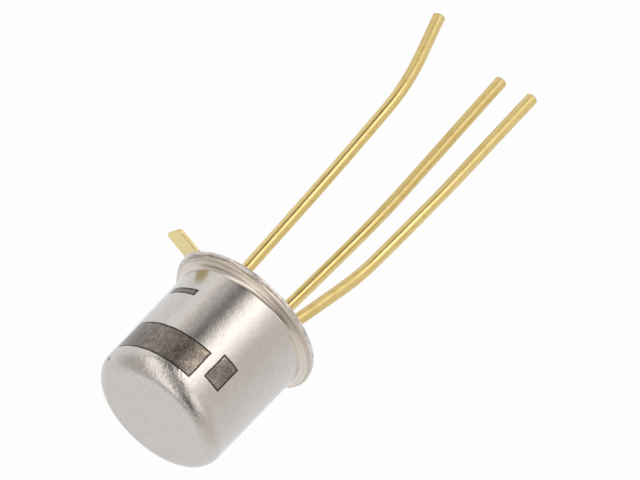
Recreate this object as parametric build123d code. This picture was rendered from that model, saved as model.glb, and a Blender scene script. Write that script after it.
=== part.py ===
"""A bipolar transistor in a small three-lead metal can, as the separate pieces it is put together from.

The frame: the origin is in the seating plane, at the centre of the eyelet's underside. +Z points up to the
can's closed end, and the leads run down. Seen from above, the emitter, base and collector leads stand a
quarter turn apart on one circle, and the index tab sits an eighth of a turn before the emitter.

Lengths are in millimetres and angles in degrees.
"""

import os
from math import cos, radians, sin, tan

from build123d import *

# ---- Can: drawn from one sheet, a little narrower at its closed end than at its foot ----
can_sheet = 0.11
can_diameter = 4.86
can_height = 4.96
can_draft_angle = 0.27
can_corner_radius = 0.57
can_bend_radius = 0.23
can_flange_flat = 0.07  # the flange's width past the bend, its rounded edge included
flange_edge_radius = 0.045

# ---- Eyelet: drawn from one sheet, with a raised platform, a flange and an index tab ----
eyelet_sheet = 0.13
eyelet_flange_margin = 0.03  # how far its flange is wider than the can's, all round
flange_offset = 0.06  # the flange's edge is trimmed a little off centre, towards the tab
platform_clearance = 0.26  # between the platform's skirt and the can's wall
platform_height = 0.95
platform_corner_radius = 0.28
skirt_bend_radius = 0.12
tab_width = 0.88
tab_reach = 0.96
tab_corner_radius = 0.16
tab_root_radius = 0.12

# ---- Leads: round wires on one circle, cropped to one length below the seating plane ----
lead_diameter = 0.42
lead_circle_diameter = 2.54
lead_length = 13.15
post_height = 0.45
nail_head_diameter = 0.64
nail_head_thickness = 0.09
nail_head_edge_radius = 0.02

# ---- Glass: fills the eyelet from below and rises through the platform's two holes ----
platform_hole_diameter = 0.90
glass_recess = 0.12
meniscus_size = 0.08
meniscus_hollow = 0.013

# ---- Die, the layer that fixes it, and the two bond wires ----
die_width = 0.50
die_thickness = 0.18
die_layer_margin = 0.05
die_layer_thickness = 0.02
pad_offset = 0.13
bond_wire_diameter = 0.04
ball_diameter = 0.10
ball_thickness = 0.03
wire_rise = 0.42
wire_rise_bend_radius = 0.16
stitch_length = 0.16
stitch_width = 0.09
stitch_thickness = 0.02
stitch_bend_radius = 0.30

# ---- Places round the axis, counterclockwise from +X as seen from above ----
tab_angle = 135
emitter_angle = 180
base_angle = 270
collector_angle = 0

# ---- How each lead is bent, from the eyelet down: the bend's place as a share of the lead's length, then
# how far the wire leans in X and in Y for each millimetre that it drops from there ----
emitter_bends = [(0.045, -0.025, 0.022), (0.485, -0.041, 0.032), (0.800, -0.258, 0.159)]
base_bends = [(0.037, 0.038, 0.002), (0.400, 0.018, 0.014), (0.540, -0.016, 0.033)]
collector_bends = [
    (0.022, 0.087, -0.181),
    (0.287, -0.004, -0.057),
    (0.433, -0.011, -0.054),
    (0.627, -0.033, -0.041),
]
bend_share = 0.45  # how much of the shorter run beside a bend its arc takes

# ---- Places worked out from them ----
lead_radius = lead_diameter / 2
can_flange_radius = can_diameter / 2 + can_bend_radius + can_flange_flat
eyelet_flange_radius = can_flange_radius + eyelet_flange_margin
platform_radius = can_diameter / 2 - can_sheet - platform_clearance
platform_underside = platform_height - eyelet_sheet
cup_edge_radius = platform_radius + 2 * skirt_bend_radius
post_top = platform_height + post_height
die_top = platform_height + die_layer_thickness + die_thickness


def on_lead_circle(angle, z):
    """The point at height z where the lead at this angle stands."""
    reach = lead_circle_diameter / 2
    return Vector(reach * cos(radians(angle)), reach * sin(radians(angle)), z)


def sheet_section(points, bends, sheet):
    """A drawn cup's section: its outer line through (r, z) points, bent and then thickened inwards."""
    outer_line = FilletPolyline(*points, radius=bends)
    return make_face(offset(outer_line, sheet, side=Side.RIGHT))


def revolved(section):
    """The solid of revolution about Z of a section drawn as (r, z)."""
    return revolve(Plane.XZ * section, Axis.Z)


def make_eyelet():
    """The cup with its platform, the flange with the index tab, and the two insulated leads' holes."""
    cup = revolved(
        sheet_section(
            [
                (0, platform_height),
                (platform_radius, platform_height),
                (platform_radius, eyelet_sheet),
                (cup_edge_radius, eyelet_sheet),
            ],
            [platform_corner_radius, skirt_bend_radius],
            eyelet_sheet,
        )
    )
    tab_tip = eyelet_flange_radius + tab_reach
    tab = Pos(tab_tip / 2, 0) * RectangleRounded(tab_tip, tab_width, tab_corner_radius)
    outline = Circle(eyelet_flange_radius) + tab
    root_corners = outline.vertices().sort_by(Axis.X)[:2]
    outline = fillet(root_corners, tab_root_radius)
    flange = extrude(outline, eyelet_sheet)
    rims = flange.edges().group_by(Axis.Z)
    flange = Pos(flange_offset, 0) * fillet(rims[0] + rims[-1], flange_edge_radius)
    flange -= Pos(0, 0, eyelet_sheet / 2) * Cylinder(cup_edge_radius, eyelet_sheet)
    eyelet = cup + Rot(0, 0, tab_angle) * flange
    for angle in (emitter_angle, base_angle):
        hole_middle = on_lead_circle(angle, platform_height - eyelet_sheet / 2)
        eyelet -= Location(hole_middle) * Cylinder(platform_hole_diameter / 2, 2 * eyelet_sheet)
    return eyelet


def make_can():
    """The drawn can: a flat end, a wall with a little draft, and a flange that seats on the eyelet's."""
    flange_top = eyelet_sheet + can_sheet
    foot_radius = can_diameter / 2
    top_radius = foot_radius - (can_height - flange_top) * tan(radians(can_draft_angle))
    section = sheet_section(
        [
            (0, can_height),
            (top_radius, can_height),
            (foot_radius, flange_top),
            (can_flange_radius, flange_top),
        ],
        [can_corner_radius, can_bend_radius],
        can_sheet,
    )
    rim = section.vertices().sort_by(Axis.X)[-2:]
    return revolved(fillet(rim, flange_edge_radius))


def lead_route(angle, bends):
    """A lead's bends and tip as points below the seating plane, and the radius of the arc at each bend."""
    depths = [share * lead_length for share, _, _ in bends] + [lead_length]
    points = [on_lead_circle(angle, -depths[0])]
    for (_, lean_x, lean_y), depth, next_depth in zip(bends, depths, depths[1:]):
        points.append(points[-1] + Vector(lean_x, lean_y, -1) * (next_depth - depth))
    stations = [on_lead_circle(angle, 0)] + points
    runs = [end - start for start, end in zip(stations, stations[1:])]
    radii = []
    for before, after in zip(runs, runs[1:]):
        turn = radians(before.get_angle(after))
        radii.append(bend_share * min(before.length, after.length) / tan(turn / 2))
    return points, radii


def make_lead(angle, bends, top, headed):
    """A round wire down to its cropped tip, with a nail head at its top if a bond wire lands on it."""
    points, radii = lead_route(angle, bends)
    path = FilletPolyline(on_lead_circle(angle, top), *points, radius=radii)
    lead = sweep(Plane(path @ 0, z_dir=path % 0) * Circle(lead_radius), path)
    if headed:
        hanging = (Align.CENTER, Align.CENTER, Align.MAX)
        head = Cylinder(nail_head_diameter / 2, nail_head_thickness, align=hanging)
        head = fillet(head.edges().filter_by(GeomType.CIRCLE), nail_head_edge_radius)
        lead += Location(on_lead_circle(angle, top)) * head
    return lead


def meniscus():
    """The glass that climbs a lead, before the lead is cut from it: a low cone with a hollow flank."""
    foot = (lead_radius + meniscus_size, 0)
    tip = (lead_radius, meniscus_size)
    flank = SagittaArc(foot, tip, meniscus_hollow)
    return revolved(make_face(flank + Polyline(tip, (0, meniscus_size), (0, 0), foot)))


def make_glass(eyelet, leads):
    """Glass from the recess up to the platform's underside and through its holes, round all the leads."""
    fill_radius = platform_radius - eyelet_sheet / 2
    fill_height = platform_underside - glass_recess
    glass = Pos(0, 0, glass_recess + fill_height / 2) * Cylinder(fill_radius, fill_height)
    for angle in (emitter_angle, base_angle):
        plug_middle = on_lead_circle(angle, platform_height - eyelet_sheet)
        glass += Location(plug_middle) * Cylinder(platform_hole_diameter / 2, 2 * eyelet_sheet)
        glass += Location(on_lead_circle(angle, platform_height)) * meniscus()
    for angle in (emitter_angle, base_angle, collector_angle):
        glass += Location(on_lead_circle(angle, glass_recess)) * Rot(180, 0, 0) * meniscus()
    glass -= eyelet
    for lead in leads:
        glass -= lead
    return glass


def make_die_layer():
    """The gold-silicon layer that fixes the die to the platform."""
    width = die_width + 2 * die_layer_margin
    sheet = extrude(RectangleRounded(width, width, die_layer_margin), die_layer_thickness)
    return Pos(0, 0, platform_height) * sheet


def make_die():
    """The silicon die, sawn square."""
    block = Box(die_width, die_width, die_thickness, align=(Align.CENTER, Align.CENTER, Align.MIN))
    return Pos(0, 0, die_top - die_thickness) * block


def make_bond_wire(angle):
    """A fine wire from a ball on the die to a flattened stitch on the nail head at this angle."""
    outward = Vector(cos(radians(angle)), sin(radians(angle)), 0)
    pad = outward * pad_offset + Vector(0, 0, die_top)
    post = on_lead_circle(angle, post_top)
    wire_radius = bond_wire_diameter / 2
    start = pad + Vector(0, 0, ball_thickness / 2)
    peak = pad + Vector(0, 0, ball_thickness + wire_rise)
    landing = post - outward * (stitch_length / 2) + Vector(0, 0, wire_radius)
    end = landing + outward * stitch_length
    path = FilletPolyline(start, peak, landing, end, radius=[wire_rise_bend_radius, stitch_bend_radius])
    wire = sweep(Plane(path @ 0, z_dir=path % 0) * Circle(wire_radius), path)
    upright = (Align.CENTER, Align.CENTER, Align.MIN)
    wire += Location(pad) * Cylinder(ball_diameter / 2, ball_thickness, align=upright)
    stitch = Box(stitch_length, stitch_width, stitch_thickness, align=upright)
    wire += Location(post) * Rot(0, 0, angle) * stitch
    return wire


eyelet = make_eyelet()
emitter_lead = make_lead(emitter_angle, emitter_bends, post_top, headed=True)
base_lead = make_lead(base_angle, base_bends, post_top, headed=True)
collector_lead = make_lead(collector_angle, collector_bends, platform_underside, headed=False)

pieces = {
    "can": make_can(),
    "eyelet": eyelet,
    "glass_seal": make_glass(eyelet, [emitter_lead, base_lead, collector_lead]),
    "emitter_lead": emitter_lead,
    "base_lead": base_lead,
    "collector_lead": collector_lead,
    "silicon_die": make_die(),
    "die_bond_layer": make_die_layer(),
    "emitter_bond_wire": make_bond_wire(emitter_angle),
    "base_bond_wire": make_bond_wire(base_angle),
}

os.makedirs("parts", exist_ok=True)
for name, shape in pieces.items():
    export_step(shape, f"parts/{name}.step")

for name, angle, bends in (
    ("emitter", emitter_angle, emitter_bends),
    ("base", base_angle, base_bends),
    ("collector", collector_angle, collector_bends),
):
    points, radii = lead_route(angle, bends)
    print(name, "lead: bend radii", [round(radius, 1) for radius in radii])
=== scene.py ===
"""The looks of a bipolar transistor in a small metal can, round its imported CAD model.

The part stands upright in its own frame: the can is above the seating plane, z = 0, and the leads hang below
it. Lengths are in metres, and the sections follow the part as it is put together.
"""

from math import cos, pi, radians, sin, tan

import bmesh
import bpy
import numpy as np
from mathutils import Matrix, Vector


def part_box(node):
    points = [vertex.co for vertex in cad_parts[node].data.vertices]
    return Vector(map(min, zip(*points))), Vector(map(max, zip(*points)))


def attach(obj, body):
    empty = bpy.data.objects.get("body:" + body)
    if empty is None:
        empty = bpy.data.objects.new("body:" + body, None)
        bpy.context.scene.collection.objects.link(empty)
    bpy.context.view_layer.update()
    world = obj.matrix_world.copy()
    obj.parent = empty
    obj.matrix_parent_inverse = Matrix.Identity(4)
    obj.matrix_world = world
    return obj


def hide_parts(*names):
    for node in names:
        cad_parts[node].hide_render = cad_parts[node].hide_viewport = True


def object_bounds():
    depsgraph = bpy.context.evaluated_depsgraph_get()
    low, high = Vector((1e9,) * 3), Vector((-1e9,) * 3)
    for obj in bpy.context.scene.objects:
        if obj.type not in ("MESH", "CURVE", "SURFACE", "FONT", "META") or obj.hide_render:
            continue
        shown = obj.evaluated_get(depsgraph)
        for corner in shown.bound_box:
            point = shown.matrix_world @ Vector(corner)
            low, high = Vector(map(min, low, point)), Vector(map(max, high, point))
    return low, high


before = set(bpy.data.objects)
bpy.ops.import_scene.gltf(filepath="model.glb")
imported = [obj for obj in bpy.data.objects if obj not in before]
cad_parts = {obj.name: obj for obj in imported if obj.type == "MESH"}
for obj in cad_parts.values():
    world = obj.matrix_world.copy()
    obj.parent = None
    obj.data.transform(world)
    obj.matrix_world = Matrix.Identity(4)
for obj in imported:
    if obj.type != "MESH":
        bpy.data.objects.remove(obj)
cad_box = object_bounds()

# ---- The view ----
# A long lens looks down at the can's closed end from a little above it, and is turned about its own axis
# so that the can comes to the lower left and the leads run to the upper right.
mm = 0.001
view_azimuth = radians(59.5)
view_elevation = radians(27.8)
view_turn = radians(136.24)
view_distance = 0.6
view_width = 20.66 * mm
aim_height = -3.875 * mm
aim_aside = 0.061 * mm
sensor_width = 36.0

towards = Vector(
    (
        cos(view_elevation) * cos(view_azimuth),
        cos(view_elevation) * sin(view_azimuth),
        sin(view_elevation),
    )
)
upright = Vector(
    (
        -sin(view_elevation) * cos(view_azimuth),
        -sin(view_elevation) * sin(view_azimuth),
        cos(view_elevation),
    )
)
level = upright.cross(towards)
to_right = level * cos(view_turn) - upright * sin(view_turn)
to_top = level * sin(view_turn) + upright * cos(view_turn)
aim = Vector((0, 0, aim_height)) + level * aim_aside

camera_data = bpy.data.cameras.new("camera")
camera_data.sensor_width = sensor_width
camera_data.lens = sensor_width * view_distance / view_width
camera_data.clip_start = 0.01
camera_data.clip_end = 10.0
camera = bpy.data.objects.new("camera", camera_data)
bpy.context.scene.collection.objects.link(camera)
camera_stand = Matrix((to_right, to_top, towards)).transposed().to_4x4()
camera_stand.translation = aim + towards * view_distance
camera.matrix_world = camera_stand
bpy.context.scene.camera = camera
bpy.context.scene.view_settings.view_transform = "Standard"


# ---- The studio ----
# A round white table under the part and a white tent round it. The tent is dimmer on the lens's side, where
# it has a dark gap that the lens looks through and a soft box beside the gap on each side.
floor_gap = 12 * mm
floor_radius = 60 * mm
floor_setback = 42 * mm
floor_rings = 24
floor_spokes = 96
lamp_distance = 0.30
lamp_size = 0.16
white = (1, 1, 1, 1)
paper_white = (0.9, 0.9, 0.9, 1)
warm_cloth = (1.055, 0.995, 0.95, 1)

# How bright the paper and the tent are, and how much dimmer or brighter the tent's zones are.
paper_glow = 0.95
tent_glow = 0.75
front_glow = 0.571
back_gain = 0.374
left_shade = 0.268
far_top_gain = 0.24
gap_shade = 0.851
left_box_glow = 0.794
right_box_glow = 0.747
right_box_gain = 0.646

# Bands across the tent: how far each one's axis points right, up and towards the lens, how far the band lies
# along that axis, and half its width.
gap_band = (0.846, -0.275, -0.457, -0.348, 0.379)
right_box_band = (0.957, -0.282, 0.061, 0.392, 0.525)
left_box_band = (0.868, -0.159, 0.471, -0.268, 0.44)


class Field:
    """A shader socket. Arithmetic on it adds Math nodes, so 1 - mask is an inverted mask."""

    tree = None

    def __init__(self, socket):
        self.socket = socket

    @classmethod
    def node(cls, kind, settings=None, inputs=None, output=0):
        """Adds a node, applies its settings, fills or links its inputs, and gives one of its outputs."""
        made = cls.tree.nodes.new(kind)
        for name, value in (settings or {}).items():
            setattr(made, name, value)
        for key, value in (inputs or {}).items():
            if isinstance(value, Field):
                cls.tree.links.new(value.socket, made.inputs[key])
            else:
                made.inputs[key].default_value = value
        return cls(made.outputs[output]) if made.outputs else None

    def math(self, operation, *others):
        """One Math node, on this socket and the others in order."""
        return Field.node("ShaderNodeMath", {"operation": operation}, dict(enumerate((self, *others))))

    def __add__(self, other):
        return self.math("ADD", other)

    __radd__ = __add__

    def __sub__(self, other):
        return self.math("SUBTRACT", other)

    def __rsub__(self, other):
        return Field.node("ShaderNodeMath", {"operation": "SUBTRACT"}, {0: other, 1: self})

    def __mul__(self, other):
        return self.math("MULTIPLY", other)

    __rmul__ = __mul__

    def __truediv__(self, other):
        return self.math("DIVIDE", other)

    def between(self, low, high):
        """0 below low and 1 above high, with a smooth step from one to the other. high may be under low."""
        settings = {"interpolation_type": "SMOOTHSTEP"}
        inputs = {"Value": self, "From Min": low, "From Max": high}
        return Field.node("ShaderNodeMapRange", settings, inputs)


def new_tree(owner):
    """Empties the node tree of a material or a world, and makes it the one that Field writes to."""
    owner.use_nodes = True
    owner.node_tree.nodes.clear()
    Field.tree = owner.node_tree
    return owner


def mixed_colour(mask, below, above):
    """The colour below, covered by the colour above where the mask is 1. A Mix node has its factor in socket
    0, its colours in 6 and 7, and their mix in output 2."""
    return Field.node("ShaderNodeMix", {"data_type": "RGBA"}, {0: mask, 6: below, 7: above}, output=2)


def seen_rays():
    """1 for what the lens sees straight, in a gloss or through glass, and 0 for the light on things."""
    path = "ShaderNodeLightPath"
    camera_ray = Field.node(path, output="Is Camera Ray")
    glossy_ray = Field.node(path, output="Is Glossy Ray")
    clear_ray = Field.node(path, output="Is Transmission Ray")
    return camera_ray.math("MAXIMUM", glossy_ray).math("MAXIMUM", clear_ray)


def surface(name, points, flip=False, **attributes):
    """A smooth mesh through a grid of points (rows, columns, 3), with its last column joined to its first.
    Points that fall together, at a pole or a seam, become one. Attributes are arrays on the same grid."""
    rows, columns = points.shape[:2]
    index = np.arange(rows * columns).reshape(rows, columns)
    index = np.hstack([index, index[:, :1]])
    corners = [index[:-1, :-1], index[:-1, 1:], index[1:, 1:], index[1:, :-1]]
    if flip:
        corners.reverse()
    faces = np.stack(corners, axis=-1).reshape(-1, 4)
    mesh = bpy.data.meshes.new(name)
    mesh.from_pydata(points.reshape(-1, 3).tolist(), [], faces.tolist())
    mesh.polygons.foreach_set("use_smooth", np.ones(len(mesh.polygons), bool))
    for label, values in attributes.items():
        kept = mesh.attributes.new(label, "FLOAT_VECTOR", "POINT")
        kept.data.foreach_set("vector", values.astype(np.float32).ravel())
    shape = bmesh.new()
    shape.from_mesh(mesh)
    bmesh.ops.remove_doubles(shape, verts=shape.verts, dist=1e-8)
    shape.to_mesh(mesh)
    shape.free()
    made = bpy.data.objects.new(name, mesh)
    bpy.context.scene.collection.objects.link(made)
    return made


def table_paper():
    """Matt white paper, which glows enough to come out white and still takes the part's shadow."""
    made = new_tree(bpy.data.materials.new("table_paper"))
    paper = Field.node("ShaderNodeBsdfDiffuse", inputs={"Color": paper_white})
    glow = Field.node("ShaderNodeEmission", inputs={"Color": white, "Strength": 1.0})
    mixed = Field.node("ShaderNodeMixShader", inputs={0: seen_rays() * paper_glow, 1: paper, 2: glow})
    Field.node("ShaderNodeOutputMaterial", inputs={"Surface": mixed})
    return made


def lay_table():
    """A disc: the radius grows with the row, and the angle with the column."""
    radius = np.linspace(0, 1, floor_rings)[:, None] * floor_radius
    angle = np.linspace(0, 2 * pi, floor_spokes, endpoint=False)[None, :]
    middle = -Vector((cos(view_azimuth), sin(view_azimuth), 0)) * floor_setback
    height = np.full((floor_rings, floor_spokes), cad_box[0].z - floor_gap)
    disc = [middle.x + radius * np.cos(angle), middle.y + radius * np.sin(angle), height]
    made = surface("table", np.stack(disc, axis=-1))
    made.data.materials.append(table_paper())


def along(way, axis):
    """How far a direction points along an axis, from -1 to 1."""
    inputs = {0: way, 1: tuple(axis)}
    return Field.node("ShaderNodeVectorMath", {"operation": "DOT_PRODUCT"}, inputs, output="Value")


def strip(way, aside, above, ahead, offset, reach):
    """1 in the middle of a band across the tent and 0 at its edges. The band lies square to an axis, which
    is given in the lens's own right, up and towards, and offset along it. reach is half its width."""
    axis = to_right * aside + to_top * above + towards * ahead
    return (along(way, axis) - offset).math("ABSOLUTE").between(reach, 0)


def tent_light():
    """The tent's glow in each direction from the part, as the part's metal mirrors it."""
    way = Field.node("ShaderNodeTexCoord", output="Generated")
    right = along(way, to_right)
    top = along(way, to_top)
    ahead = along(way, towards)
    left_side = (0 - right).between(0.55, 0.95) * ahead.between(-0.45, -0.1)
    far_top = top.between(0.80, 0.95) * right.between(0.05, -0.3) * ahead.between(0.3, 0)
    gap = strip(way, *gap_band) * ahead.between(0, 0.25)
    left_box = strip(way, *left_box_band) * left_box_glow
    right_box = strip(way, *right_box_band) * top.between(-0.782, -0.382)
    right_box = right_box * (right_box_glow + right_box_gain * top.between(0.2, 0.75))
    tent = front_glow + back_gain * ahead.between(1.387, -0.6)
    tent = tent * (1 - left_shade * left_side) * (1 + far_top_gain * far_top) * (1 - gap_shade * gap)
    tent = tent + (right_box + left_box) * ahead.between(0.1, 0.4)
    cloth = mixed_colour(ahead.between(-0.5, 0.1), white, warm_cloth)
    return Field.node("ShaderNodeBackground", inputs={"Color": cloth, "Strength": tent})


def hang_tent():
    """White to the lens and through glass, the tent's own light to a gloss, and an even glow on things."""
    world = new_tree(bpy.data.worlds.new("tent"))
    bpy.context.scene.world = world
    strength = seen_rays() * (1 - tent_glow) + tent_glow
    plain = Field.node("ShaderNodeBackground", inputs={"Color": white, "Strength": strength})
    glossy = Field.node("ShaderNodeLightPath", output="Is Glossy Ray")
    mixed = Field.node("ShaderNodeMixShader", inputs={0: glossy, 1: plain, 2: tent_light()})
    Field.node("ShaderNodeOutputWorld", inputs={"Surface": mixed})


def set_lamp(name, aside, above, energy):
    """A square soft lamp that faces the part from the lens's side. The tent's boxes stand in for it in a
    gloss."""
    data = bpy.data.lights.new(name, "AREA")
    data.shape = "SQUARE"
    data.size = lamp_size
    data.energy = energy
    made = bpy.data.objects.new(name, data)
    bpy.context.scene.collection.objects.link(made)
    facing = (to_right * aside + to_top * above + towards).normalized()
    made.location = facing * lamp_distance
    made.rotation_euler = facing.to_track_quat("Z", "Y").to_euler()
    made.visible_camera = False
    made.visible_glossy = False


lay_table()
hang_tent()
set_lamp("right_lamp", aside=0.6, above=0.5, energy=0.030)
set_lamp("left_lamp", aside=-0.8, above=0.2, energy=0.020)


# ---- The can ----
# A cup drawn from nickel sheet, with a small outward flange at its mouth. The finish is satin, grained by
# the draw at the corner, and printed. Welding the flange to the eyelet has pressed it down towards its edge
# and tinted it straw.
can_sheet = 0.11 * mm
can_wall_radius = 2.43 * mm
can_draft = radians(0.27)
can_corner_radius = 0.57 * mm
can_bend_radius = 0.23 * mm
foot_radius = 0.12 * mm
flange_slope = radians(33)
rim_edge_radius = 0.045 * mm
seat_height = 0.13 * mm
can_sides = 256
can_step = 0.10 * mm
nick_place = np.array((-1.85, 1.42, 4.67)) * mm
nick_depth = 0.03 * mm
nick_reach = 0.06 * mm
# How far from the nick the colour is near-black, and where it has faded back.
nick_dark_reach = (0.09 * mm, 0.05 * mm)
dish_depth = 0.004 * mm
dish_radius = 1.8 * mm

# The wall's waves: how many go round the can, their share, where they start, and their twist per metre.
# They begin at this height and this radius.
wall_waves = ((3, 1.0, 1.1, 0), (5, 0.6, 0, 900), (9, 0.4, 0, -1400))
wave_depth = 0.0015 * mm
wave_height = 0.5 * mm
wave_radius = 1.5 * mm

# Where the finish changes, as the radii, heights and angles from the front at which a zone fades in. A zone
# with four has the two at which it fades out again.
corner_heights = (3.95 * mm, 4.45 * mm)
corner_radii = (1.75 * mm, 1.95 * mm)
foot_heights = (0.60 * mm, 0.46 * mm)
bend_radii = (2.44 * mm, 2.47 * mm)
flange_radii = (2.51 * mm, 2.60 * mm)
rim_radii = (2.62 * mm, 2.68 * mm)
# The flange's two painted shade lines and its painted highlight ring, by radius.
foot_shade_radii = (2.485 * mm, 2.510 * mm, 2.550 * mm, 2.575 * mm)
highlight_ring_radii = (2.580 * mm, 2.600 * mm, 2.615 * mm, 2.635 * mm)
rim_shade_radii = (2.630 * mm, 2.650 * mm, 2.665 * mm, 2.685 * mm)
# The front, where the flange's tint and its painted shade lines are strongest.
lens_side_angles = (radians(-45), radians(0), radians(45), radians(75))
dimpled_angles = (radians(-12), radians(8))
scuffed_angles = (radians(-14), radians(-4), radians(26), radians(36))
scuffed_heights = (0.60 * mm, 0.80 * mm, 3.00 * mm, 3.50 * mm)

nickel = (0.560, 0.538, 0.520, 1)
pale_nickel = (0.590, 0.572, 0.560, 1)
straw = (0.590, 0.535, 0.475, 1)
corner_brown = (0.52, 0.47, 0.405, 1)
bend_nickel = (0.700, 0.650, 0.600, 1)
flange_nickel = (0.650, 0.602, 0.550, 1)
flange_gold = (0.680, 0.595, 0.470, 1)
# The painted highlight ring's colour, and below it the painted shade lines' colour.
highlight_ring_nickel = (0.88, 0.85, 0.81, 1)
line_shade_brown = (0.30, 0.245, 0.185, 1)
rim_brown = (0.46, 0.41, 0.36, 1)
speck_brown = (0.30, 0.27, 0.24, 1)
nick_black = (0.10, 0.095, 0.09, 1)

# The print's plain blocks: two angles from the front in degrees, and two heights in millimetres.
print_blocks = ((1.0, 78, 3.05, 4.27), (-23, -6, 2.75, 3.85), (46, 76, 1.35, 1.62))
print_fade = 0.012 * mm
print_border = 0.06 * mm
print_wobble = 0.05 * mm
rubbed_angles = (radians(36), radians(4))
border_black = (0.060, 0.052, 0.048, 1)
print_grey = (0.16, 0.142, 0.132, 1)
mottled_grey = (0.24, 0.215, 0.195, 1)
rubbed_brown = (0.30, 0.25, 0.20, 1)
crinkle_tan = (0.72, 0.62, 0.50, 1)
bare_spot = (0.45, 0.40, 0.355, 1)


def rounded_line(corners, radii, steps=14):
    """Points along straight runs through the corners, with an arc at each inner corner that starts and ends
    at a distance of radius tan(turn / 2) from it."""
    corners = np.array(corners, float)
    points = [corners[:1]]
    for before, corner, after, radius in zip(corners, corners[1:], corners[2:], radii):
        entry = (before - corner) / np.linalg.norm(before - corner)
        leave = (after - corner) / np.linalg.norm(after - corner)
        turn = pi - np.arccos(np.clip(entry @ leave, -1, 1))
        middle = (entry + leave) / np.linalg.norm(entry + leave)
        centre = corner + middle * radius / cos(turn / 2)
        start = corner + entry * radius * tan(turn / 2) - centre
        end = corner + leave * radius * tan(turn / 2) - centre
        share = np.linspace(0, 1, steps)[:, None]
        arc = (np.sin((1 - share) * turn) * start + np.sin(share * turn) * end) / sin(turn)
        points.append(centre + arc)
    return np.vstack([*points, corners[-1:]])


def finer(points, longest):
    """The same line, with its steps divided so that none is longer than the longest."""
    line = [points[:1]]
    for start, end in zip(points, points[1:]):
        parts = max(1, int(np.ceil(np.linalg.norm(end - start) / longest)))
        line.append(start + (end - start) * (np.arange(1, parts + 1) / parts)[:, None])
    return np.vstack(line)


def can_profile():
    """The can's section as (radius, height), from the middle of its closed end round the flange to the
    inside. The flange rises from its edge to the wall by its width times the tangent of its slope."""
    top = cad_box[1].z
    flange_top = seat_height + can_sheet
    flange_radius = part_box("can")[1].x
    flange_rise = (flange_radius - can_wall_radius) * tan(flange_slope)
    top_radius = can_wall_radius - (top - flange_top) * tan(can_draft)
    corners = [
        (0, top),
        (top_radius, top),
        (can_wall_radius, flange_top + flange_rise),
        (flange_radius, flange_top),
        (flange_radius, seat_height),
        (can_wall_radius - can_sheet, seat_height),
        (top_radius - can_sheet, top - can_sheet),
        (0, top - can_sheet),
    ]
    inner_radii = [can_bend_radius + can_sheet, can_corner_radius - can_sheet]
    radii = [can_corner_radius, foot_radius, rim_edge_radius, rim_edge_radius, *inner_radii]
    return finer(rounded_line(corners, radii), can_step)


def draw_can():
    """The profile turned round Z. Drawing leaves the wall out of round by a sum of sine waves, at their full
    depth a millimetre past where they begin. The closed end is dished by a parabola. A knock has left a nick
    in the corner, as deep as a bell curve of the distance from its place."""
    profile = can_profile()
    angle = np.linspace(0, 2 * pi, can_sides, endpoint=False)[None, :]
    radius, height = profile[:, :1], profile[:, 1:]
    wall = np.clip((height - wave_height) / mm, 0, 1) * np.clip((radius - wave_radius) / mm, 0, 1)
    wave = 0
    for count, share, start, twist in wall_waves:
        wave = wave + share * np.sin(count * angle + start + twist * height)
    wide = radius - wave_depth * wall * (2 + wave)
    closed_end = (height > cad_box[1].z - 0.5 * can_sheet) & (radius < can_wall_radius)
    dish = dish_depth * np.clip(1 - (radius / dish_radius) ** 2, 0, 1) * closed_end
    points = np.stack([wide * np.cos(angle), wide * np.sin(angle), height - dish + 0 * angle], axis=-1)
    gap = np.linalg.norm(points - nick_place, axis=-1, keepdims=True)
    points -= nick_depth * np.exp(-((gap / nick_reach) ** 2)) * nick_place / np.linalg.norm(nick_place)
    return surface("can_drawn", points, flip=True)


def shaded_point():
    """The shaded point: its position, its angle round Z from the front, its radius and its height. The front
    is at the view's azimuth."""
    here = Field.node("ShaderNodeTexCoord", output="Object")
    turned = Field.node("ShaderNodeMapping", inputs={"Vector": here, "Rotation": (0, 0, -view_azimuth)})
    split = "ShaderNodeSeparateXYZ"
    front = Field.node(split, inputs={"Vector": turned}, output="X")
    aside = Field.node(split, inputs={"Vector": turned}, output="Y")
    height = Field.node(split, inputs={"Vector": turned}, output="Z")
    radius = (front * front + aside * aside).math("SQRT")
    return here, aside.math("ARCTAN2", front), radius, height


def band(value, start, full, fading, end):
    """1 from full to fading, and 0 before the start and past the end, with smooth steps between them."""
    return value.between(start, full) * value.between(end, fading)


def noise(here, size, detail=2.0, drawn=(1, 1, 1)):
    """Noise from 0 to 1 with features of about a size. drawn under 1 stretches them along that axis."""
    mapped = Field.node("ShaderNodeMapping", inputs={"Vector": here, "Scale": drawn})
    inputs = {"Vector": mapped, "Scale": 1 / size, "Detail": detail}
    return Field.node("ShaderNodeTexNoise", inputs=inputs)


def dots(here, spacing, size, share):
    """1 in round dots of about a size. The spacing divides space into cells, a share of which has a dot."""
    cells = {"Vector": here, "Scale": 1 / spacing}
    distance = Field.node("ShaderNodeTexVoronoi", inputs=cells, output="Distance")
    colour = Field.node("ShaderNodeTexVoronoi", inputs=cells, output="Color")
    chance = Field.node("ShaderNodeSeparateColor", inputs={"Color": colour}, output="Red")
    reach = size / (2 * spacing)
    return distance.between(reach, 0.5 * reach) * chance.between(share + 0.01, share)


def end_finish(body, colour, roughness, relief, depth):
    """Ends the tree with the surface itself. body says what is even all over it, and depth is the relief's
    height between its 0 and its 1."""
    bump = Field.node("ShaderNodeBump", inputs={"Strength": 1.0, "Distance": depth, "Height": relief})
    inputs = {"Base Color": colour, "Roughness": roughness, "Normal": bump, **body}
    shader = Field.node("ShaderNodeBsdfPrincipled", inputs=inputs)
    Field.node("ShaderNodeOutputMaterial", inputs={"Surface": shader})


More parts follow.
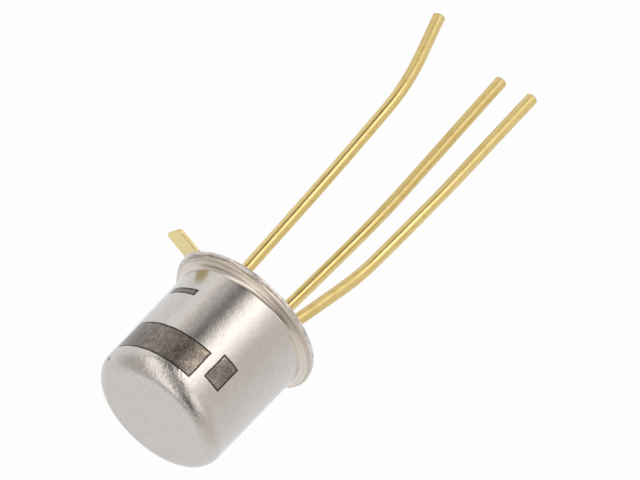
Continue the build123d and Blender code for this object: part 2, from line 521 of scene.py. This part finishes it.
def plain_block(angle, height, block, inset):
    """1 in a block of the wall, held in from the block's edges by the inset."""
    first, last, low, high = block
    start = radians(first) + inset / can_wall_radius
    end = radians(last) - inset / can_wall_radius
    bottom = low * mm + inset
    top = high * mm - inset
    fade = print_fade / can_wall_radius
    across = band(angle, start, start + fade, end - fade, end)
    return across * band(height, bottom, bottom + print_fade, top - print_fade, top)


def plain_print(angle, height, inset=0.0):
    """The can's dark print, as plain blocks."""
    covered = plain_block(angle, height, print_blocks[0], inset)
    for block in print_blocks[1:]:
        covered = covered.math("MAXIMUM", plain_block(angle, height, block, inset))
    return covered


def worn_print(here, angle, height, broad, mottle):
    """Where the print lies, with edges that waver, and its colour: a dark border round a film that is
    mottled, crinkled, rubbed towards the front, and bare in spots."""
    wobble = (mottle - 0.5) * print_wobble
    wavy_angle = angle + wobble / can_wall_radius
    wavy_height = height + wobble
    film = plain_print(wavy_angle, wavy_height)
    core = plain_print(wavy_angle, wavy_height, print_border)
    rubbed = broad.between(0.42, 0.62) * angle.between(*rubbed_angles)
    crinkle = (noise(here, 0.13 * mm) - 0.5).math("ABSOLUTE").between(0.05, 0.0)
    bare = dots(here, 0.13 * mm, 0.06 * mm, 0.25)
    worn = mixed_colour(rubbed, print_grey, rubbed_brown)
    worn = mixed_colour(mottle.between(0.40, 0.70), worn, mottled_grey)
    worn = mixed_colour(crinkle * (0.20 + 0.60 * rubbed), worn, crinkle_tan)
    worn = mixed_colour(bare, worn, bare_spot)
    return film, mixed_colour(core, border_black, worn)


def pressed_flange(colour, angle, radius, flange, broad, mottle):
    """The can's colour with the flange's laid over it: tinted by the weld, lightened in one ring by a
    painted highlight, and darkened in two lines by painted shade, in place of dark reflections at the foot
    and near the rim. The tint and the painted shade are strongest at the front."""
    lens_side = band(angle, *lens_side_angles)
    golden = flange * mottle.between(0.40, 0.60) * (0.45 + 0.35 * lens_side)
    # A painted highlight: a ring of near-white nickel.
    highlight_ring = band(radius, *highlight_ring_radii) * 0.35 * broad.between(0.35, 0.60)
    # Painted shade: two dark lines, darkest at the front.
    foot_shade = band(radius, *foot_shade_radii) * (0.45 + 0.30 * broad.between(0.40, 0.60))
    rim_shade = band(radius, *rim_shade_radii) * 0.65 * broad.between(0.60, 0.35)
    colour = mixed_colour(radius.between(*bend_radii), colour, bend_nickel)
    colour = mixed_colour(flange, colour, flange_nickel)
    colour = mixed_colour(golden, colour, flange_gold)
    colour = mixed_colour(highlight_ring, colour, highlight_ring_nickel)
    colour = mixed_colour((foot_shade + rim_shade) * (0.1 + 0.9 * lens_side), colour, line_shade_brown)
    return mixed_colour(radius.between(*rim_radii) * 0.40, colour, rim_brown)


def can_finish():
    """Satin nickel, mottled all over, straw at its foot, grained and dimpled at its corner, and specked. The
    print lies over it, and so do the flange's tint, its painted highlight ring and its painted shade lines."""
    made = new_tree(bpy.data.materials.new("satin_nickel"))
    here, angle, radius, height = shaded_point()
    broad = noise(here, 0.9 * mm)
    mottle = noise(here, 0.22 * mm, 3.0)
    grain = noise(here, 0.06 * mm)
    dimples = noise(here, 0.13 * mm, 1.0)
    corner = height.between(*corner_heights) * radius.between(*corner_radii)
    foot = height.between(*foot_heights)
    flange = radius.between(*flange_radii)
    scuffed = band(angle, *scuffed_angles) * band(height, *scuffed_heights)
    specks = dots(here, 0.40 * mm, 0.05 * mm, 0.20)
    specks = specks.math("MAXIMUM", dots(here, 0.17 * mm, 0.07 * mm, 0.45) * scuffed)
    from_nick = {0: here, 1: nick_place}
    gap = Field.node("ShaderNodeVectorMath", {"operation": "DISTANCE"}, from_nick, output="Value")
    film, film_colour = worn_print(here, angle, height, broad, mottle)
    colour = mixed_colour(mottle.between(0.35, 0.65), nickel, pale_nickel)
    colour = mixed_colour(foot * broad.between(0.25, 0.6), colour, straw)
    colour = mixed_colour(corner * broad.between(0.52, 0.70) * 0.5, colour, corner_brown)
    colour = pressed_flange(colour, angle, radius, flange, broad, mottle)
    colour = mixed_colour(specks * 0.45, colour, speck_brown)
    # Near-black round the nick.
    colour = mixed_colour(gap.between(*nick_dark_reach), colour, nick_black)
    colour = mixed_colour(film, colour, film_colour)
    roughness = 0.18 + 0.07 * mottle + 0.20 * flange + 0.07 * film - 0.05 * corner - 0.10 * foot
    relief = grain * (0.55 + 0.7 * corner + 0.6 * film - 0.45 * foot)
    relief = relief + dimples * corner * (1.2 + 1.1 * angle.between(*dimpled_angles))
    relief = relief + mottle * (0.6 + 0.8 * corner)
    end_finish({"Metallic": 1.0}, colour, roughness, relief, 0.006 * mm)
    return made


can = draw_can()
can.data.materials.append(can_finish())
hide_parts("can")
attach(can, "root")


# ---- The eyelet ----
# The header's base, drawn from a thin sheet of iron-nickel-cobalt sealing alloy and gold plated, index tab
# included. Trimming and welding have left the flange's rim bare and grey. The tab keeps its gold.
rim_radius = 2.76 * mm
rim_offset = 0.06 * mm
tab_azimuth = radians(135)
bare_inside = 0.16 * mm
bare_outside = 0.10 * mm
flat_gold = (0.815, 0.690, 0.345, 1)
deep_flat_gold = (0.745, 0.600, 0.270, 1)
bare_alloy = (0.540, 0.515, 0.490, 1)
# Pale patches of the bare rim: the alloy's tone, lifted into painted glints.
pale_alloy_glint = (0.74, 0.715, 0.69, 1)


def eyelet_finish():
    """Gold plate, mottled, and worn to the alloy in a band along the rim. The bare alloy's pale patches are
    its own tone, lifted into painted glints.
    """
    made = new_tree(bpy.data.materials.new("gold_plate_eyelet"))
    here = Field.node("ShaderNodeTexCoord", output="Object")
    rim_middle = (-rim_offset * cos(tab_azimuth), -rim_offset * sin(tab_azimuth), 0)
    centred = Field.node("ShaderNodeMapping", inputs={"Vector": here, "Location": rim_middle})
    across = Field.node("ShaderNodeSeparateXYZ", inputs={"Vector": centred}, output="X")
    ahead = Field.node("ShaderNodeSeparateXYZ", inputs={"Vector": centred}, output="Y")
    radius = (across * across + ahead * ahead).math("SQRT")
    mottle = noise(here, 0.25 * mm, 3.0)
    fine = noise(here, 0.06 * mm)
    inner = rim_radius - bare_inside
    outer = rim_radius + bare_outside
    bare = band(radius, inner, inner + 0.04 * mm, outer - 0.05 * mm, outer)
    colour = mixed_colour(mottle.between(0.50, 0.75) * 0.5, flat_gold, deep_flat_gold)
    alloy = mixed_colour(mottle.between(0.35, 0.65), bare_alloy, pale_alloy_glint)
    colour = mixed_colour(bare, colour, alloy)
    relief = fine + mottle * (0.8 + 1.0 * bare)
    end_finish({"Metallic": 1.0}, colour, 0.28 + 0.10 * mottle, relief, 0.006 * mm)
    return made


def dress(name, material):
    """Gives a CAD node its finish. Its mesh stays as it is."""
    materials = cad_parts[name].data.materials
    materials.clear()
    materials.append(material)


dress("eyelet", eyelet_finish())


# ---- The weld ----
# The can's flange and the eyelet's are pressed and welded together all round. What the weld squeezed out
# stands in the groove between their edges as a fine uneven bead.
bead_radius = 2.694 * mm
bead_size = 0.030 * mm
bead_steps = 720
bead_sides = 12
bead_rise = 1.1
bead_waves = (23, 41, 67, 97, 131)
bead_grey = (0.62, 0.595, 0.57, 1)
# A near-white colour for painted glints, brighter than the metal itself.
bead_glint_white = (0.95, 0.93, 0.90, 1)


def lay_bead():
    """A ring round Z. The wire that it is made of swells and shrinks with the mean of sin(count x angle +
    start), over the counts of waves, and is a little higher than it is wide."""
    ring = np.linspace(0, 2 * pi, bead_steps, endpoint=False)[:, None]
    round_it = np.linspace(0, 2 * pi, bead_sides, endpoint=False)[None, :]
    random = np.random.default_rng(5)
    swell = sum(np.sin(n * ring + random.uniform(0, 2 * pi)) for n in bead_waves) / len(bead_waves)
    size = bead_size * (0.92 + 0.12 * swell)
    wide = bead_radius + size * np.cos(round_it)
    height = seat_height + bead_rise * size * np.sin(round_it)
    points = np.stack([wide * np.cos(ring), wide * np.sin(ring), height], axis=-1)
    closed = np.concatenate([points, points[:1]])
    return surface("weld_bead", closed, flip=True)


def bead_finish():
    """Nickel and alloy that have run together: mottled, with near-white patches that are painted glints, and
    smoother in some stretches than in others.
    """
    made = new_tree(bpy.data.materials.new("weld_bead"))
    here = Field.node("ShaderNodeTexCoord", output="Object")
    mottle = noise(here, 0.12 * mm, 3.0)
    broad = noise(here, 0.8 * mm)
    # Painted glints: near-white patches mixed in by the mottle.
    colour = mixed_colour(mottle.between(0.35, 0.65), bead_grey, bead_glint_white)
    end_finish({"Metallic": 1.0}, colour, 0.12 + 0.25 * broad, mottle, 0.002 * mm)
    return made


bead = lay_bead()
bead.data.materials.append(bead_finish())
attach(bead, "root")


# ---- The leads ----
# Three round wires of the same sealing alloy, gold plated. Drawing has left fine lines along them, and
# cropping has turned their tips over a little. Two of them end inside the can in flat nail heads.
lead_radius = 0.21 * mm
lead_length = 13.15 * mm
lead_circle = 1.27 * mm
post_top = 1.40 * mm
platform_underside = 0.82 * mm
tip_rounding = 0.035 * mm
head_radius = 0.32 * mm
head_sheet = 0.09 * mm
head_edge_radius = 0.02 * mm
bend_share = 0.45
lead_sides = 40
lead_step = 0.07 * mm
shaft_sections = 190
edge_sections = 6
cropped_end = (-0.04 * mm, -0.015 * mm)
gold = (0.745, 0.600, 0.270, 1)
deep_gold = (0.640, 0.470, 0.160, 1)
lead_speck = (0.33, 0.25, 0.12, 1)
cropped_gold = (0.30, 0.24, 0.15, 1)

# How much the wire's radius waves, and its long and its short wave in radians for each metre along it.
waviness = 0.004
long_wave = 700
short_wave = 1900


def lead_line(azimuth, bends, top):
    """The wire's middle line from its top to its tip. A bend is its depth as a share of the lead's length,
    then how far the wire leans in X and Y for each millimetre that it drops from there."""
    stand = np.array([lead_circle * cos(azimuth), lead_circle * sin(azimuth), 0])
    depths = [share * lead_length for share, _, _ in bends] + [lead_length]
    points = [stand, stand - (0, 0, depths[0])]
    for (_, lean_x, lean_y), depth, next_depth in zip(bends, depths, depths[1:]):
        points.append(points[-1] + np.array([lean_x, lean_y, -1]) * (next_depth - depth))
    runs = np.diff(points, axis=0)
    lengths = np.linalg.norm(runs, axis=1)
    radii = []
    for before, after, run, next_run in zip(runs, runs[1:], lengths, lengths[1:]):
        turn = np.arccos(before @ after / (run * next_run))
        radii.append(bend_share * min(run, next_run) / tan(turn / 2))
    points[0] = stand + (0, 0, top)
    return finer(rounded_line(points, radii), lead_step)


def lead_sections(length, headed):
    """The wire's sections as (distance from the top, radius): a nail head or a plain end, and a rounded tip.
    Each rounded edge is a quarter circle."""
    quarter = np.linspace(0, pi / 2, edge_sections)
    if headed:
        edge_along = head_edge_radius * (1 - np.cos(quarter))
        edge_radius = head_radius - head_edge_radius * (1 - np.sin(quarter))
        edge = np.stack([edge_along, edge_radius], axis=-1)
        under = np.stack([head_sheet - edge_along[::-1], edge_radius[::-1]], axis=-1)
        start = np.vstack([[[0, 0]], edge, under, [[head_sheet, lead_radius]]])
    else:
        start = np.array([[0, 0], [0, lead_radius]])
    tip_along = length - tip_rounding * (1 - np.sin(quarter))
    tip_radius = lead_radius - tip_rounding * (1 - np.cos(quarter))
    tip = np.stack([tip_along, tip_radius], axis=-1)
    shaft = np.linspace(start[-1, 0], tip[0, 0], shaft_sections)[1:-1]
    middle = np.stack([shaft, np.full(len(shaft), lead_radius)], axis=-1)
    return np.vstack([start, middle, tip, [[length, 0]]])


def at_distances(wanted, distance, values):
    """The rows of values, known at each distance along the wire, worked out at the distances wanted."""
    return np.stack([np.interp(wanted, distance, values[:, k]) for k in range(3)], axis=-1)


def draw_lead(name, azimuth, bends, dulled, top, headed, seed):
    """The sections set square along the middle line, on a radius that two sine waves along the wire vary.
    Each point keeps where it would be on a straight wire that ends at z = 0, for the lines that run along
    it, and how far bending and handling have dulled it there."""
    line = lead_line(azimuth, bends, top)
    steps = np.linalg.norm(np.diff(line, axis=0), axis=1)
    distance = np.concatenate([[0], np.cumsum(steps)])
    section = lead_sections(distance[-1], headed)
    middle = at_distances(section[:, 0], distance, line)
    heading = at_distances(section[:, 0], distance, np.gradient(line, distance, axis=0))
    heading /= np.linalg.norm(heading, axis=1)[:, None]
    side = np.cross(heading, [0, 1, 0])
    side /= np.linalg.norm(side, axis=1)[:, None]
    other = np.cross(heading, side)
    angle = np.linspace(0, 2 * pi, lead_sides, endpoint=False)[None, :]
    along_wire = section[:, :1]
    wave = np.sin(long_wave * along_wire + seed)
    wave = wave + np.sin(short_wave * along_wire + 2 * seed + np.sin(angle))
    radius = section[:, 1:] * (1 - waviness * (2 + wave))
    out = np.cos(angle)[..., None] * side[:, None] + np.sin(angle)[..., None] * other[:, None]
    from_tip = along_wire - distance[-1] + 0 * angle
    straight = np.stack([radius * np.cos(angle), radius * np.sin(angle), from_tip], axis=-1)
    depths, amounts = zip(*dulled)
    dull = np.interp(1 + from_tip / lead_length, depths, amounts)
    dull = np.repeat(dull[..., None], 3, axis=-1)
    points = middle[:, None] + radius[..., None] * out
    return surface(name, points, straight_wire=straight, dulled=dull)


def lead_finish():
    """Gold plate over drawn wire: lined along its length, specked, dull where bent, brown at the crop."""
    made = new_tree(bpy.data.materials.new("gold_plate_lead"))
    wire = Field.node("ShaderNodeAttribute", {"attribute_name": "straight_wire"}, output="Vector")
    dull = Field.node("ShaderNodeAttribute", {"attribute_name": "dulled"}, output="Fac")
    from_tip = Field.node("ShaderNodeSeparateXYZ", inputs={"Vector": wire}, output="Z")
    lines = noise(wire, 0.05 * mm, drawn=(1, 1, 0.05))
    mottle = noise(wire, 0.16 * mm, 3.0, drawn=(1, 1, 0.5))
    specks = dots(wire, 0.30 * mm, 0.04 * mm, 0.20)
    colour = mixed_colour(mottle.between(0.42, 0.72) * 0.6, gold, deep_gold)
    colour = mixed_colour(lines.between(0.50, 0.75) * 0.35, colour, deep_gold)
    colour = mixed_colour(specks * 0.6, colour, lead_speck)
    colour = mixed_colour(from_tip.between(*cropped_end), colour, cropped_gold)
    roughness = 0.17 + 0.08 * mottle + 0.22 * dull
    end_finish({"Metallic": 1.0}, colour, roughness, lines + 0.6 * mottle, 0.003 * mm)
    return made


lead_gold = lead_finish()
lead_bends = {
    "emitter_lead": [(0.045, -0.025, 0.022), (0.485, -0.041, 0.032), (0.800, -0.258, 0.159)],
    "base_lead": [(0.037, 0.038, 0.002), (0.400, 0.018, 0.014), (0.540, -0.016, 0.033)],
    "collector_lead": [
        (0.022, 0.087, -0.181),
        (0.287, -0.004, -0.057),
        (0.433, -0.011, -0.054),
        (0.627, -0.033, -0.041),
    ],
}

# How dull the plate is, at depths that are shares of the lead's length.
lead_dulled = {
    "emitter_lead": [(0.74, 0), (0.80, 1)],
    "base_lead": [(0.42, 0), (0.52, 1)],
    "collector_lead": [(0.26, 1), (0.34, 0), (0.61, 0), (0.68, 0.7)],
}
for seed, (name, azimuth, top, headed) in enumerate(
    (
        ("emitter_lead", pi, post_top, True),
        ("base_lead", 1.5 * pi, post_top, True),
        ("collector_lead", 0, platform_underside, False),
    )
):
    lead = draw_lead(name + "_drawn", azimuth, lead_bends[name], lead_dulled[name], top, headed, seed)
    lead.data.materials.append(lead_gold)
    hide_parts(name)
    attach(lead, "root")


# ---- The glass ----
# Dark green sealing glass, which fills the eyelet, holds the leads and keeps two of them clear of the metal.
# It was fired until it flowed, and is smooth and glossy, with a few bubbles under its skin.
dark_glass = (0.012, 0.030, 0.022, 1)
green_glass = (0.022, 0.048, 0.034, 1)
bubble_pale = (0.10, 0.15, 0.12, 1)


def glass_finish():
    """Glass, clouded between two greens, and pale where a bubble lies."""
    made = new_tree(bpy.data.materials.new("seal_glass"))
    here = Field.node("ShaderNodeTexCoord", output="Object")
    cloud = noise(here, 0.5 * mm)
    bubbles = noise(here, 0.09 * mm, 0.0)
    colour = mixed_colour(cloud.between(0.3, 0.7), dark_glass, green_glass)
    colour = mixed_colour(bubbles.between(0.68, 0.76) * 0.7, colour, bubble_pale)
    end_finish({"IOR": 1.49}, colour, 0.08 + 0.06 * cloud, cloud + 0.3 * bubbles, 0.02 * mm)
    return made


dress("glass_seal", glass_finish())


# ---- The die and its wires ----
# Inside the can: a sawn silicon die, fixed to the platform by a thin gold-silicon layer, and two fine gold
# wires. Each wire is bonded as a ball to the die and as a flat stitch to a lead's nail head.
silicon_grey = (0.16, 0.165, 0.185, 1)
pale_silicon = (0.22, 0.225, 0.245, 1)
pure_gold = (0.86, 0.62, 0.22, 1)
deep_pure_gold = (0.80, 0.54, 0.16, 1)


def silicon_finish():
    """Silicon, with the saw's fine lines down its sides."""
    made = new_tree(bpy.data.materials.new("silicon"))
    here = Field.node("ShaderNodeTexCoord", output="Object")
    sawn = noise(here, 0.02 * mm, drawn=(1, 1, 0.2))
    colour = mixed_colour(sawn.between(0.3, 0.7), silicon_grey, pale_silicon)
    end_finish({"Metallic": 1.0}, colour, 0.30 + 0.1 * sawn, sawn, 0.001 * mm)
    return made


def bond_gold_finish():
    """Bare gold with a fine grain."""
    made = new_tree(bpy.data.materials.new("gold"))
    here = Field.node("ShaderNodeTexCoord", output="Object")
    fine = noise(here, 0.02 * mm)
    colour = mixed_colour(fine.between(0.4, 0.7), pure_gold, deep_pure_gold)
    end_finish({"Metallic": 1.0}, colour, 0.22 + 0.1 * fine, fine, 0.001 * mm)
    return made


dress("silicon_die", silicon_finish())
bond_gold = bond_gold_finish()
for name in ("die_bond_layer", "emitter_bond_wire", "base_bond_wire"):
    dress(name, bond_gold)
